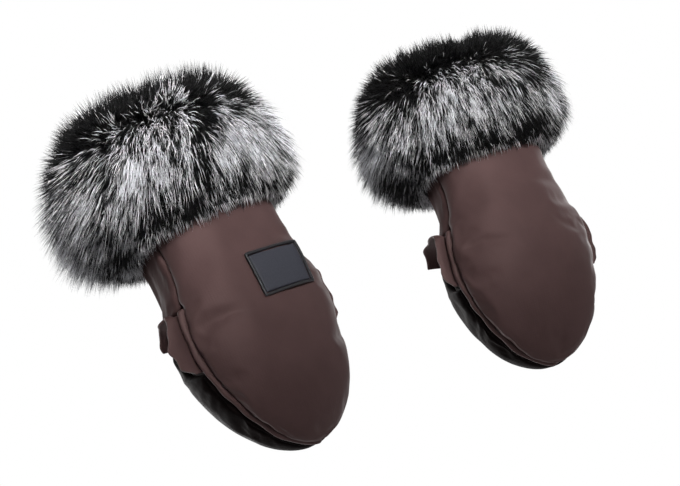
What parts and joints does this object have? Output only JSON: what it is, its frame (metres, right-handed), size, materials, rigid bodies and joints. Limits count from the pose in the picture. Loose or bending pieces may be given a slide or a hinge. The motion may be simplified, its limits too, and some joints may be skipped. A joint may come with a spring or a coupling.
{
  "type": "stroller hand muff",
  "caption": "Padded mitten muffs with long-pile cuffs for a stroller's push bar, each with side bar passages, fabric collars and a studded closing flap.",
  "frame": {"origin": "on the push bar's axis, midway through the left muff's bar passages", "axes": "+X along the straight middle of the bar towards the right muff, front panels towards -Y, cuffs towards +Z"},
  "size_m": [0.4808, 0.179, 0.3087],
  "materials": {
    "brown_nylon": "satin woven nylon, dark brown",
    "binding_tape": "satin woven nylon, doubled",
    "white_wadding": "matt fibre fill",
    "dark_fleece": "matt fleece",
    "knit_backing": "matt knit",
    "frosted_fur": "long pile, dark undercoat with pale tips",
    "dark_steel": "dark plated",
    "black_rubber": "satin",
    "slate_rubber": "satin, bare"
  },
  "bodies": {
    "left_muff": {"left_front_shell": "brown_nylon", "left_palm_shell": "brown_nylon", "left_front_wadding": "white_wadding", "left_palm_wadding": "white_wadding", "left_front_lining": "dark_fleece", "left_palm_lining": "dark_fleece", "left_opening_facing": "binding_tape", "left_outboard_collar": "binding_tape", "left_inboard_collar": "binding_tape", "left_cuff_backing": "knit_backing", "left_cuff_lining": "dark_fleece", "left_fur_cuff": "frosted_fur", "left_socket_1": "dark_steel", "left_socket_2": "dark_steel", "left_socket_3": "dark_steel", "left_socket_4": "dark_steel", "patch_rim": "black_rubber", "patch_face": "slate_rubber"},
    "left_flap": {"left_flap_shell": "brown_nylon", "left_flap_wadding": "white_wadding", "left_flap_lining": "dark_fleece", "left_flap_binding": "binding_tape", "left_stud_1": "dark_steel", "left_stud_2": "dark_steel", "left_stud_3": "dark_steel", "left_stud_4": "dark_steel"},
    "right_muff": {"right_front_shell": "brown_nylon", "right_palm_shell": "brown_nylon", "right_front_wadding": "white_wadding", "right_palm_wadding": "white_wadding", "right_front_lining": "dark_fleece", "right_palm_lining": "dark_fleece", "right_opening_facing": "binding_tape", "right_outboard_collar": "binding_tape", "right_inboard_collar": "binding_tape", "right_cuff_backing": "knit_backing", "right_cuff_lining": "dark_fleece", "right_fur_cuff": "frosted_fur", "right_socket_1": "dark_steel", "right_socket_2": "dark_steel", "right_socket_3": "dark_steel", "right_socket_4": "dark_steel"},
    "right_flap": {"right_flap_shell": "brown_nylon", "right_flap_wadding": "white_wadding", "right_flap_lining": "dark_fleece", "right_flap_binding": "binding_tape", "right_stud_1": "dark_steel", "right_stud_2": "dark_steel", "right_stud_3": "dark_steel", "right_stud_4": "dark_steel"}
  },
  "joints": [
    {"name": "left_flap_hinge", "type": "hinge", "parent": "left_muff", "child": "left_flap", "pos_m": [0.01419, -0.02138, -0.10542], "axis": [-0.9848, -0.1384, -0.1045], "range_deg": [0, 110]},
    {"name": "right_muff_slide", "type": "slide", "parent": "left_muff", "child": "right_muff", "axis": [1, 0, 0], "range_m": [-0.03, 0.04]},
    {"name": "right_flap_hinge", "type": "hinge", "parent": "right_muff", "child": "right_flap", "pos_m": [0.24717, -0.02087, -0.10697], "axis": [-0.9806, 0.1378, 0.1392], "range_deg": [0, 110]}
  ]
}
